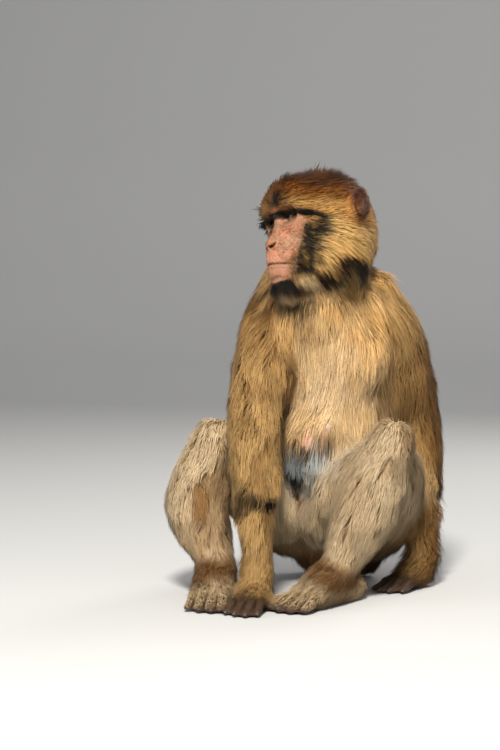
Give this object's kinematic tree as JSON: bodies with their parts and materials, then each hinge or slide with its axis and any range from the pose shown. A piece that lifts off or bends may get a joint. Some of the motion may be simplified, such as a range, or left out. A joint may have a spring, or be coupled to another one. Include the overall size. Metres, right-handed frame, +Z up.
{
  "type": "sitting barbary macaque model",
  "caption": "Life-size still model of an adult Barbary macaque sitting on its rump, knees up, one arm down in front between its feet and its head turned to its right",
  "frame": {"origin": "middle of the model's box, at the level of the floor that it sits on", "axes": "+X to the animal's left, -Y the way that its chest faces, +Z up"},
  "size_m": [0.3162, 0.3978, 0.5252],
  "materials": {
    "coat": "thick golden-brown and cream fur",
    "skin": "bare pink and grey-brown skin",
    "eye": "wet amber-brown eye",
    "nail": "dark horn nail"
  },
  "bodies": {
    "root": {"head": "coat", "neck": "coat", "trunk": "coat", "upper_arm_left": "coat", "upper_arm_right": "coat", "forearm_left": "coat", "forearm_right": "coat", "thigh_left": "coat", "thigh_right": "coat", "shin_left": "coat", "shin_right": "coat", "hand_left": "skin", "hand_right": "skin", "foot_left": "skin", "foot_right": "skin", "ear_left": "skin", "ear_right": "skin", "eye_left": "eye", "eye_right": "eye"}
  },
  "joints": []
}
